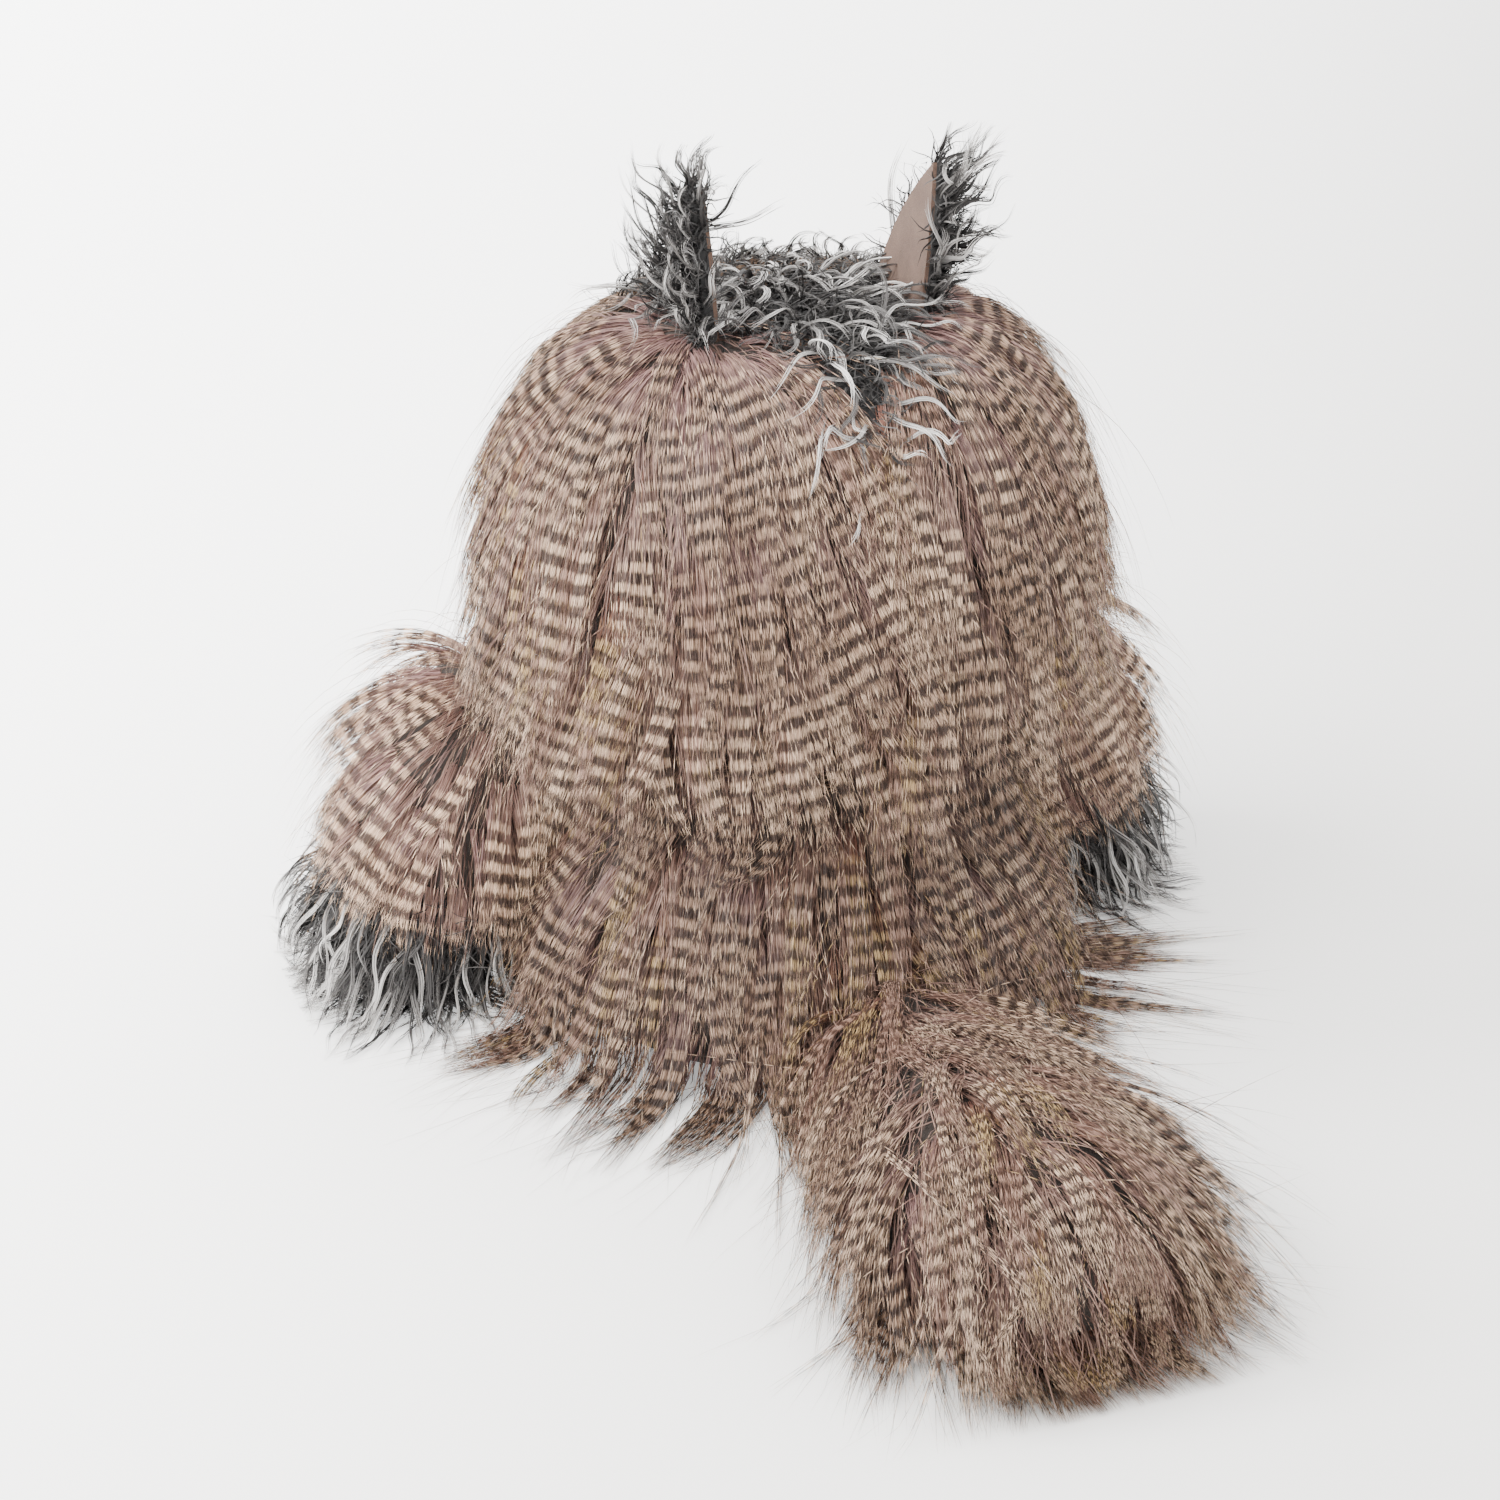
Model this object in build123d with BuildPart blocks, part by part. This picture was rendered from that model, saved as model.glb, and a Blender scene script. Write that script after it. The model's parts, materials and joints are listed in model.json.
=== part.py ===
from build123d import *
import os
from math import cos, radians, sin, sqrt

# A sitting stuffed animal of long-pile faux fur. It faces -Y and rests on the XY plane.
# The origin is on the floor under the middle of the seat, on the axis that the head turns about.

# ---- driving dimensions, mm ----
CLOTH = 6.0              # fur fabric: backing and packed pile
FIT = 0.2                # between a cover and its stuffing
GAP = 0.8                # between bodies that move
THROUGH = 60.0           # a cut this long goes through any cover

NECK_Z = 170.0           # top of the torso
TORSO_POINTS = ((100, 0), (117, 20), (121, 44), (113, 84), (96, 122), (84, 150), (70, NECK_Z))
BASE_R = TORSO_POINTS[0][0] - CLOTH

# head stations: height, half width, half depth, centre in Y
HEAD_STATIONS = (
    (NECK_Z + GAP, 84, 80, 0),
    (190, 120, 108, 0),
    (224, 132, 118, 2),
    (264, 131, 118, 5),
    (302, 118, 109, 7),
    (328, 94, 90, 8),
    (341, 60, 60, 8),
)
FACE_Y = -22.0           # the face panel is in front of this plane
CROWN_Z = 286.0          # lowest point of the crown gusset
CROWN_BACK_Y = 116.0     # its point, towards the back of the head
CROWN_HALF_W = 64.0      # its half width at the face seam

EYE_X = 42.0
EYE_Z = 256.0
EYE_R = 8.5
NOSE_Z = 230.0
MUZZLE_CENTRE = (0, -112, 216)
MUZZLE_SIZE = (42, 32, 30)

EAR_X = 46.0
EAR_Y = 12.0
EAR_ROOT_Z = 316.0
EAR_W = 54.0
EAR_H = 94.0
EAR_THICK = 6.0
EAR_LEAN = 5.0           # degrees outwards
EAR_TIP_BACK = 30.0      # how far the tip is behind the middle of the root
EAR_LINING = 1.8

STEM_R = 3.0             # plastic joint stem
STEM_CLEAR = 0.35
STEM_GRIP = 0.05         # between a stem and the washer pressed on it
STEM_TAIL = 2.0          # stem left past its washer
WASHER_GAP = 0.5         # between a washer and what it bears on
DISC_R = 13.0
DISC_T = 2.6
WASHER_R = 8.0
WASHER_T = 2.0

SHOULDER_Y = -40.0
SHOULDER_Z = 126.0
TORSO_DISC_X = 61.0      # inner face of the disc inside the torso
ARM_DISC_X = 118.0       # inner face of the disc inside the arm
ARM_TOP = (131, -34, 165)
ARM_END = (184, -60, -4)
ARM_RADII = ((0.0, 10), (0.07, 28), (0.22, 39), (0.45, 40), (0.66, 40.5), (0.82, 42), (0.95, 31), (1.0, 11))
WRIST_AT = 0.58          # share of the arm's length where the striped sleeve ends
PALM_Y = -86.0           # the palm pad is in front of this plane

LEG_X = 58.0
LEG_Z = 33.0
LEG_R = 31.0
FOOT_R = 34.0
FOOT_END_Y = -228.0
ANKLE_Y = -176.0
SOLE_Y = -216.0
LEG_LIFT = 30.0

TAIL_R = 34.0
TAIL_Z = 38.0
TAIL_FLAT = 0.7          # height over width
TAIL_STATIONS = ((180, 39), (215, 50), (262, 58), (305, 52), (336, 35), (354, 14))  # place in Y, half width
TAIL_SWING = 25.0
TAB_T = 3.0
TAB_W = 22.0
TAB_PLAY = 0.2           # a tab is this much less than its slot
TAB_SPARE = 12.0         # degrees of spare room beside a tab

LEG_SLOT_AHEAD = 10.0     # the slots for the leg tabs start this far in front of the legs' centres
TORSO_R = max(r for r, _ in TORSO_POINTS)
TAIL_Y = TORSO_R + GAP + TAIL_R
LEG_Y = -sqrt((TORSO_R + GAP + LEG_R) ** 2 - LEG_X**2)

os.makedirs("parts", exist_ok=True)


def save(piece, name):
    """Label a finished sub-part and write it to its STEP file."""
    piece.part.label = name
    export_step(piece.part, f"parts/{name}.step")
    print(name, len(piece.part.solids()), round(piece.part.volume / 1000, 1), "cm3")


def torso_curve_points(inset):
    """Points of the torso's side profile, moved inwards, top edge and foot edge kept on their planes."""
    moved = [(r - inset, z) for r, z in TORSO_POINTS[:-1]]
    top_r, top_z = TORSO_POINTS[-1]
    return moved + [(top_r - inset, top_z - inset)]


def torso_wall_section():
    """The closed band that one torso panel is turned from: side wall and neck closure."""
    outer = torso_curve_points(0)
    inner = torso_curve_points(CLOTH)
    hole = STEM_R + STEM_CLEAR
    with BuildSketch(Plane.XZ) as section:
        with BuildLine():
            Spline(*outer)
            Line(outer[-1], (hole, NECK_Z))
            Line((hole, NECK_Z), (hole, NECK_Z - CLOTH))
            Line((hole, NECK_Z - CLOTH), inner[-1])
            Spline(*inner[::-1])
            Line(inner[0], outer[0])
        make_face()
    return section.sketch.face()


def torso_fill_section():
    """Half section of the torso stuffing, from the base panel to the neck closure."""
    inner = torso_curve_points(CLOTH + FIT)
    with BuildSketch(Plane.XZ) as section:
        with BuildLine():
            Spline(*inner)
            Line(inner[-1], (0, inner[-1][1]))
            Line((0, inner[-1][1]), (0, 0))
            Line((0, 0), inner[0])
        make_face()
    return section.sketch.face()


def mirrored(point, side):
    """A point on the left (+X) side, or the same point on the right."""
    return (side * point[0], point[1], point[2])


def shoulder_plane(side, x):
    """Plane across the shoulder axis, facing away from the body's middle."""
    return Plane(origin=(side * x, SHOULDER_Y, SHOULDER_Z), x_dir=(0, 1, 0), z_dir=(side, 0, 0))


def tab_wedge_points(start, end, length):
    """Triangle swept by a flat tab that turns between two angles about its end, in degrees."""
    return (
        (0, 0),
        (length * cos(radians(start)), length * sin(radians(start))),
        (length * cos(radians(end)), length * sin(radians(end))),
    )


# ---- torso ----
def torso_panel(start, arc):
    """One turned panel of the torso cover, from a start angle about Z."""
    plane_turn = Plane.XY.rotated((0, 0, start))
    with BuildPart() as panel:
        face = plane_turn.location * torso_wall_section()
        revolve(face, axis=Axis.Z, revolution_arc=arc)
        for side in (1, -1):
            with BuildSketch(shoulder_plane(side, TORSO_DISC_X)):
                Circle(STEM_R + STEM_CLEAR)
            extrude(amount=THROUGH, mode=Mode.SUBTRACT)
        with BuildSketch(Plane.XZ.offset(-TAIL_Y)):
            with Locations((0, TAIL_Z)):
                Rectangle(TAB_T, TAB_W)
        extrude(amount=THROUGH, mode=Mode.SUBTRACT)
        for side in (1, -1):
            with BuildSketch(Plane.XZ.offset(-LEG_Y - LEG_SLOT_AHEAD)):
                with Locations((side * LEG_X, LEG_Z)):
                    Rectangle(TAB_W, TAB_T)
            extrude(amount=-THROUGH, mode=Mode.SUBTRACT)
    return panel


torso_back_left = torso_panel(0, 90)
save(torso_back_left, "torso_back_left")
torso_back_right = torso_panel(90, 90)
save(torso_back_right, "torso_back_right")
torso_belly = torso_panel(180, 180)
save(torso_belly, "torso_belly")

with BuildPart() as torso_base:
    with BuildSketch():
        Circle(BASE_R - FIT)
    extrude(amount=CLOTH)
save(torso_base, "torso_base")

PELLET_R = 80.0
PELLET_H = 26.0
SHOULDER_POCKET = 12.0   # room for the washer and stem end inside the shoulder disc
NECK_POCKET = 22.0       # the same under the neck closure
with BuildPart() as seat_pellet_bag:
    with BuildSketch(Plane.XY.offset(CLOTH + FIT)):
        Circle(PELLET_R)
    extrude(amount=PELLET_H)
    fillet(seat_pellet_bag.edges(), radius=PELLET_H * 0.4)
save(seat_pellet_bag, "seat_pellet_bag")

with BuildPart() as torso_stuffing:
    revolve(torso_fill_section(), axis=Axis.Z)
    with BuildSketch():
        Circle(TORSO_R)
    extrude(amount=CLOTH + FIT, mode=Mode.SUBTRACT)
    with BuildSketch(Plane.XY.offset(CLOTH)):
        Circle(PELLET_R + FIT)
    extrude(amount=PELLET_H + 2 * FIT, mode=Mode.SUBTRACT)
    for side in (1, -1):
        with BuildSketch(shoulder_plane(side, TORSO_DISC_X - SHOULDER_POCKET)):
            Circle(DISC_R + FIT)
        extrude(amount=THROUGH, mode=Mode.SUBTRACT)
    with BuildSketch(Plane.XY.offset(NECK_Z)):
        Circle(DISC_R + FIT)
    extrude(amount=-CLOTH - NECK_POCKET, mode=Mode.SUBTRACT)
    with BuildSketch(Plane.XZ.offset(-TAIL_Y)):
        with Locations((0, TAIL_Z)):
            Rectangle(TAB_T, TAB_W)
    extrude(amount=THROUGH, mode=Mode.SUBTRACT)
    for side in (1, -1):
        with BuildSketch(Plane.XZ.offset(-LEG_Y - LEG_SLOT_AHEAD)):
            with Locations((side * LEG_X, LEG_Z)):
                Rectangle(TAB_W, TAB_T)
        extrude(amount=-THROUGH, mode=Mode.SUBTRACT)
save(torso_stuffing, "torso_stuffing")

# flat webbing tabs, sewn into the torso seams and ending at the root of the tail and of each leg
TAB_IN = 22.0
TAIL_TAB_LENGTH = TAIL_Y - TORSO_R + TAB_IN
with BuildPart() as tail_tab:
    with BuildSketch(Plane.XZ.offset(-TAIL_Y)):
        with Locations((0, TAIL_Z)):
            Rectangle(TAB_T - TAB_PLAY, TAB_W - TAB_PLAY)
    extrude(amount=TAIL_TAB_LENGTH)
save(tail_tab, "tail_tab")

LEG_TAB_LENGTH = 52.0
for side, word in ((1, "left"), (-1, "right")):
    with BuildPart() as leg_tab:
        with BuildSketch(Plane.XZ.offset(-LEG_Y)):
            with Locations((side * LEG_X, LEG_Z)):
                Rectangle(TAB_W - TAB_PLAY, TAB_T - TAB_PLAY)
        extrude(amount=-LEG_TAB_LENGTH)
    save(leg_tab, f"{word}_leg_tab")

    with BuildPart() as shoulder_disc:
        with BuildSketch(shoulder_plane(side, TORSO_DISC_X)):
            Circle(DISC_R)
            Circle(STEM_R + STEM_CLEAR, mode=Mode.SUBTRACT)
        extrude(amount=DISC_T)
    save(shoulder_disc, f"{word}_shoulder_disc")

with BuildPart() as neck_disc:
    with BuildSketch(Plane.XY.offset(NECK_Z - CLOTH - FIT)):
        Circle(DISC_R)
        Circle(STEM_R + STEM_CLEAR, mode=Mode.SUBTRACT)
    extrude(amount=-DISC_T)
save(neck_disc, "neck_disc")


# ---- head ----
def loft_head(inset, mode):
    """Loft the head's form through its stations, moved inwards, into the open part."""
    faces = []
    for index, (z, half_w, half_d, y) in enumerate(HEAD_STATIONS):
        end = {0: inset, len(HEAD_STATIONS) - 1: -inset}.get(index, 0)
        with BuildSketch(Plane.XY.offset(z + end), mode=Mode.PRIVATE) as station:
            with Locations((0, y)):
                Ellipse(half_w - inset, half_d - inset)
        faces.append(station.sketch.face())
    loft(faces, mode=mode)


with BuildPart() as head_form:
    loft_head(0, Mode.ADD)

with BuildPart() as head_shell:
    loft_head(0, Mode.ADD)
    loft_head(CLOTH, Mode.SUBTRACT)
    with BuildSketch(Plane.XY.offset(NECK_Z)):
        Circle(STEM_R + STEM_CLEAR)
    extrude(amount=CLOTH * 2, mode=Mode.SUBTRACT)

FACE_PLANE = Plane(origin=(0, FACE_Y, 0), x_dir=(1, 0, 0), z_dir=(0, 1, 0))
CROWN_CORNERS = ((0, CROWN_BACK_Y), (-CROWN_HALF_W, FACE_Y), (CROWN_HALF_W, FACE_Y))

with BuildPart() as crown_prism:
    with BuildSketch(Plane.XY.offset(CROWN_Z)):
        Polygon(*CROWN_CORNERS, align=None)
    extrude(amount=THROUGH)

for word, keep in (("left", Keep.TOP), ("right", Keep.BOTTOM)):
    with BuildPart() as head_back:
        add(head_shell.part)
        split(bisect_by=FACE_PLANE, keep=Keep.TOP)
        split(bisect_by=Plane.YZ, keep=keep)
        add(crown_prism.part, mode=Mode.SUBTRACT)
    save(head_back, f"head_back_{word}")

with BuildPart() as crown_gusset:
    add(head_shell.part)
    add(crown_prism.part, mode=Mode.INTERSECT)
save(crown_gusset, "crown_gusset")


def head_y(x, z):
    """Front of the head's surface near a height, from the nearest stations."""
    for low, high in zip(HEAD_STATIONS, HEAD_STATIONS[1:]):
        if low[0] <= z <= high[0]:
            share = (z - low[0]) / (high[0] - low[0])
            half_w, half_d, y = (a + (b - a) * share for a, b in zip(low[1:], high[1:]))
            return y - half_d * sqrt(1 - (x / half_w) ** 2)
    raise ValueError("height outside the head")


def eye_plane(side):
    """Plane at an eye, facing out of the face."""
    half_w, half_d = HEAD_STATIONS[3][1:3]
    y = head_y(EYE_X, EYE_Z)
    out = Vector(side * EYE_X / half_w**2, y / half_d**2, 0).normalized()
    return Plane(origin=(side * EYE_X, y, EYE_Z), x_dir=(0, 0, 1), z_dir=(out.X, out.Y, out.Z))


with BuildPart() as face_panel:
    add(head_shell.part)
    split(bisect_by=FACE_PLANE, keep=Keep.BOTTOM)
    for side in (1, -1):
        with BuildSketch(eye_plane(side)):
            Circle(STEM_R + STEM_CLEAR)
        extrude(amount=2 * CLOTH, both=True, mode=Mode.SUBTRACT)
save(face_panel, "face_panel")

HEAD_POCKET = 24.0       # room for the neck disc, above NECK_Z
EYE_POCKET = 22.0        # room for the stem and washer behind an eye
EYE_STEM = 16.0
with BuildPart() as head_stuffing:
    loft_head(CLOTH + FIT, Mode.ADD)
    with BuildSketch(Plane.XY.offset(NECK_Z)):
        Circle(DISC_R + FIT)
    extrude(amount=HEAD_POCKET, mode=Mode.SUBTRACT)
    for side in (1, -1):
        with BuildSketch(eye_plane(side)):
            Circle(WASHER_R + FIT)
        extrude(amount=-EYE_POCKET, mode=Mode.SUBTRACT)
save(head_stuffing, "head_stuffing")

for side, word in ((1, "left"), (-1, "right")):
    with BuildPart() as eye:
        with Locations(eye_plane(side)):
            Sphere(EYE_R)
        add(head_form.part, mode=Mode.SUBTRACT)
        with BuildSketch(eye_plane(side).offset(EYE_R / 2)):
            Circle(STEM_R)
        extrude(amount=-EYE_R / 2 - EYE_STEM)
    save(eye, f"{word}_eye")

    with BuildPart() as eye_washer:
        with BuildSketch(eye_plane(side).offset(-CLOTH - 2 * FIT - 2 * WASHER_GAP)):
            Circle(WASHER_R)
            Circle(STEM_R + STEM_GRIP, mode=Mode.SUBTRACT)
        extrude(amount=-WASHER_T)
    save(eye_washer, f"{word}_eye_washer")

NOSE_SIZE = (13, 8, 9)
NOSE_Y = MUZZLE_CENTRE[1] - MUZZLE_SIZE[1] * 0.88
NOSE_STEM = 14.0
NOSE_WASHER_IN = 8.0     # the nose washer is this far inside the muzzle
with BuildPart() as muzzle:
    ball = Sphere(1, mode=Mode.PRIVATE)
    add(scale(ball, MUZZLE_SIZE, mode=Mode.PRIVATE).moved(Location(MUZZLE_CENTRE)))
    add(head_form.part, mode=Mode.SUBTRACT)
    with BuildSketch(Plane.XZ.offset(-NOSE_Y)):
        with Locations((0, NOSE_Z)):
            Circle(STEM_R + STEM_CLEAR)
    extrude(amount=NOSE_STEM, both=True, mode=Mode.SUBTRACT)
    with BuildSketch(Plane.XZ.offset(-NOSE_Y - NOSE_WASHER_IN)):
        with Locations((0, NOSE_Z)):
            Circle(WASHER_R + FIT)
    extrude(amount=-WASHER_T - 4 * FIT, mode=Mode.SUBTRACT)
save(muzzle, "muzzle")

with BuildPart() as nose:
    nose_ball = Sphere(1, mode=Mode.PRIVATE)
    add(scale(nose_ball, NOSE_SIZE, mode=Mode.PRIVATE).moved(Location((0, NOSE_Y, NOSE_Z))))
    muzzle_ball = Sphere(1, mode=Mode.PRIVATE)
    add(scale(muzzle_ball, MUZZLE_SIZE, mode=Mode.PRIVATE).moved(Location(MUZZLE_CENTRE)), mode=Mode.SUBTRACT)
    with BuildSketch(Plane.XZ.offset(-NOSE_Y + NOSE_SIZE[1] / 2)):
        with Locations((0, NOSE_Z)):
            Circle(STEM_R)
    extrude(amount=-NOSE_STEM - STEM_TAIL)
save(nose, "nose")

with BuildPart() as nose_washer:
    with BuildSketch(Plane.XZ.offset(-NOSE_Y - NOSE_WASHER_IN - FIT)):
        with Locations((0, NOSE_Z)):
            Circle(WASHER_R)
            Circle(STEM_R + STEM_GRIP, mode=Mode.SUBTRACT)
    extrude(amount=-WASHER_T)
save(nose_washer, "nose_washer")

NECK_STEM_TOP = NECK_Z + GAP + CLOTH + 2 * WASHER_GAP
NECK_WASHER_Z = NECK_Z - CLOTH - FIT - DISC_T - WASHER_GAP
with BuildPart() as neck_stem_disc:
    with BuildSketch(Plane.XY.offset(NECK_STEM_TOP)):
        Circle(DISC_R)
    extrude(amount=DISC_T)
    with BuildSketch(Plane.XY.offset(NECK_STEM_TOP)):
        Circle(STEM_R)
    extrude(amount=NECK_WASHER_Z - WASHER_T - STEM_TAIL - NECK_STEM_TOP)
save(neck_stem_disc, "neck_stem_disc")

with BuildPart() as neck_washer:
    with BuildSketch(Plane.XY.offset(NECK_WASHER_Z)):
        Circle(WASHER_R)
        Circle(STEM_R + STEM_GRIP, mode=Mode.SUBTRACT)
    extrude(amount=-WASHER_T)
save(neck_washer, "neck_washer")

# ---- ears: a curly back and a thin lining, standing in the YZ direction with linings facing each other ----
for side, word in ((1, "left"), (-1, "right")):
    lean = radians(EAR_LEAN)
    ear_plane = Plane(origin=(side * EAR_X, EAR_Y, EAR_ROOT_Z), x_dir=(0, side, 0),
                      z_dir=(side * cos(lean), 0, -sin(lean)))
    tip = (side * EAR_TIP_BACK, EAR_H)
    swept = side * EAR_TIP_BACK * 0.3
    with BuildSketch(ear_plane) as ear_outline:
        with BuildLine():
            Spline((-EAR_W / 2, 0), (swept - EAR_W * 0.45, EAR_H * 0.4), tip)
            Spline(tip, (swept + EAR_W * 0.45, EAR_H * 0.4), (EAR_W / 2, 0))
            Line((EAR_W / 2, 0), (-EAR_W / 2, 0))
        make_face()
    with BuildPart() as ear_back:
        extrude(ear_outline.sketch, amount=EAR_THICK - EAR_LINING)
        add(head_form.part, mode=Mode.SUBTRACT)
    save(ear_back, f"{word}_ear_back")
    with BuildPart() as ear_lining:
        extrude(ear_outline.sketch, amount=-EAR_LINING)
        add(head_form.part, mode=Mode.SUBTRACT)
    save(ear_lining, f"{word}_ear_lining")


# ---- arms ----
def arm_axis(side):
    """Line down the middle of an arm."""
    top = Vector(*mirrored(ARM_TOP, side))
    return Axis(top, Vector(*mirrored(ARM_END, side)) - top)


def arm_section(side, inset):
    """Half section of an arm along its axis, moved inwards."""
    axis = arm_axis(side)
    length = (Vector(*ARM_TOP) - Vector(*ARM_END)).length
    across = axis.direction.cross(Vector(0, 1, 0)).normalized()
    half = Plane(origin=axis.position, x_dir=across, z_dir=across.cross(axis.direction))
    points = [(max(r - inset, 1.5), share * length) for share, r in ARM_RADII]
    points[0] = (points[0][0], inset)
    points[-1] = (points[-1][0], length - inset)
    with BuildSketch(half) as section:
        with BuildLine():
            Spline(*points)
            Line(points[-1], (0, points[-1][1]))
            Line((0, points[-1][1]), (0, points[0][1]))
            Line((0, points[0][1]), points[0])
        make_face()
    return section.sketch.face()


def turn_arm(side, inset, mode):
    """The arm's form of revolution, added to or cut from the open part."""
    revolve(arm_section(side, inset), axis=arm_axis(side), mode=mode)


def floor_plane(height):
    """Horizontal cutting plane."""
    return Plane.XY.offset(height)


def wrist_plane(side):
    """Plane across the arm where sleeve and paw are sewn together."""
    axis = arm_axis(side)
    length = (Vector(*ARM_TOP) - Vector(*ARM_END)).length
    return Plane(origin=axis.position + axis.direction * (WRIST_AT * length), z_dir=axis.direction)


PALM_PLANE = Plane(origin=(0, PALM_Y, 0), x_dir=(1, 0, 0), z_dir=(0, -1, 0))
for side, word in ((1, "left"), (-1, "right")):
    with BuildPart() as arm_cavity:
        turn_arm(side, CLOTH, Mode.ADD)
        split(bisect_by=floor_plane(CLOTH), keep=Keep.TOP)
    with BuildPart() as arm_cover:
        turn_arm(side, 0, Mode.ADD)
        split(bisect_by=floor_plane(0), keep=Keep.TOP)
        add(arm_cavity.part, mode=Mode.SUBTRACT)
        with BuildSketch(shoulder_plane(side, TORSO_DISC_X)):
            Circle(STEM_R + STEM_CLEAR)
        extrude(amount=ARM_DISC_X - TORSO_DISC_X, mode=Mode.SUBTRACT)

    with BuildPart() as sleeve:
        add(arm_cover.part)
        split(bisect_by=wrist_plane(side), keep=Keep.BOTTOM)
    save(sleeve, f"{word}_arm_sleeve")
    with BuildPart() as paw:
        add(arm_cover.part)
        split(bisect_by=wrist_plane(side), keep=Keep.TOP)
        split(bisect_by=PALM_PLANE, keep=Keep.BOTTOM)
    save(paw, f"{word}_paw")
    with BuildPart() as palm_pad:
        add(arm_cover.part)
        split(bisect_by=wrist_plane(side), keep=Keep.TOP)
        split(bisect_by=PALM_PLANE, keep=Keep.TOP)
    save(palm_pad, f"{word}_palm_pad")
    with BuildPart() as arm_stuffing:
        turn_arm(side, CLOTH + FIT, Mode.ADD)
        split(bisect_by=floor_plane(CLOTH + FIT), keep=Keep.TOP)
        with BuildSketch(shoulder_plane(side, TORSO_DISC_X)):
            Circle(DISC_R + FIT)
        extrude(amount=ARM_DISC_X + DISC_T + FIT - TORSO_DISC_X, mode=Mode.SUBTRACT)
    save(arm_stuffing, f"{word}_arm_stuffing")

    washer_x = TORSO_DISC_X - WASHER_GAP
    with BuildPart() as shoulder_stem_disc:
        with BuildSketch(shoulder_plane(side, ARM_DISC_X)):
            Circle(DISC_R)
        extrude(amount=DISC_T)
        with BuildSketch(shoulder_plane(side, ARM_DISC_X)):
            Circle(STEM_R)
        extrude(amount=washer_x - WASHER_T - STEM_TAIL - ARM_DISC_X)
    save(shoulder_stem_disc, f"{word}_shoulder_stem_disc")
    with BuildPart() as shoulder_washer:
        with BuildSketch(shoulder_plane(side, washer_x)):
            Circle(WASHER_R)
            Circle(STEM_R + STEM_GRIP, mode=Mode.SUBTRACT)
        extrude(amount=-WASHER_T)
    save(shoulder_washer, f"{word}_shoulder_washer")

# ---- legs: a round root against the belly, a foot with a sole patch at the front ----
LEG_LENGTH = LEG_Y - FOOT_END_Y


def leg_section(side, inset):
    """Half section of a leg along its axis, which points forwards from the root's centre."""
    root = LEG_R - inset
    foot = FOOT_R - inset
    half = Plane(origin=(side * LEG_X, LEG_Y, LEG_Z), x_dir=(1, 0, 0), z_dir=(0, 0, -1))
    end = LEG_LENGTH - inset
    with BuildSketch(half) as section:
        with BuildLine():
            CenterArc((0, 0), root, -90, 90)
            Spline((root, 0), (root, 14), (foot, LEG_LENGTH * 0.62), (foot * 0.72, LEG_LENGTH * 0.9 - inset),
                   (foot * 0.2, end), tangents=((0, 1), (-1, 0.2)))
            Line((foot * 0.2, end), (0, end))
            Line((0, end), (0, -root))
        make_face()
    return section.sketch.face()


def leg_wedge(side):
    """Room in a leg's root for the tab, from rest to fully lifted."""
    edge = Plane(origin=(side * LEG_X - TAB_W / 2 - GAP, LEG_Y, LEG_Z), x_dir=(0, 1, 0), z_dir=(1, 0, 0))
    with BuildSketch(edge) as wedge:
        Polygon(*tab_wedge_points(-TAB_SPARE, LEG_LIFT + TAB_SPARE, LEG_R * 1.5), align=None)
        Circle(TAB_T * 2.5)
    return wedge.sketch


for side, word in ((1, "left"), (-1, "right")):
    leg_line = Axis((side * LEG_X, LEG_Y, LEG_Z), (0, -1, 0))
    with BuildPart() as leg_cavity:
        revolve(leg_section(side, CLOTH), axis=leg_line)
        split(bisect_by=floor_plane(CLOTH), keep=Keep.TOP)
    with BuildPart() as leg_cover_form:
        revolve(leg_section(side, 0), axis=leg_line)
        split(bisect_by=floor_plane(0), keep=Keep.TOP)
        add(leg_cavity.part, mode=Mode.SUBTRACT)
        extrude(leg_wedge(side), amount=TAB_W + 2 * GAP, mode=Mode.SUBTRACT)
    ankle = Plane(origin=(0, ANKLE_Y, 0), x_dir=(1, 0, 0), z_dir=(0, -1, 0))
    sole = Plane(origin=(0, SOLE_Y, 0), x_dir=(1, 0, 0), z_dir=(0, -1, 0))
    with BuildPart() as leg_cover:
        add(leg_cover_form.part)
        split(bisect_by=ankle, keep=Keep.BOTTOM)
    save(leg_cover, f"{word}_leg_cover")
    with BuildPart() as foot_cover:
        add(leg_cover_form.part)
        split(bisect_by=ankle, keep=Keep.TOP)
        split(bisect_by=sole, keep=Keep.BOTTOM)
    save(foot_cover, f"{word}_foot")
    with BuildPart() as sole_pad:
        add(leg_cover_form.part)
        split(bisect_by=sole, keep=Keep.TOP)
    save(sole_pad, f"{word}_sole_pad")
    with BuildPart() as leg_stuffing:
        revolve(leg_section(side, CLOTH + FIT), axis=leg_line)
        split(bisect_by=floor_plane(CLOTH + FIT), keep=Keep.TOP)
        extrude(leg_wedge(side), amount=TAB_W + 2 * GAP, mode=Mode.SUBTRACT)
    save(leg_stuffing, f"{word}_leg_stuffing")


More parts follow.
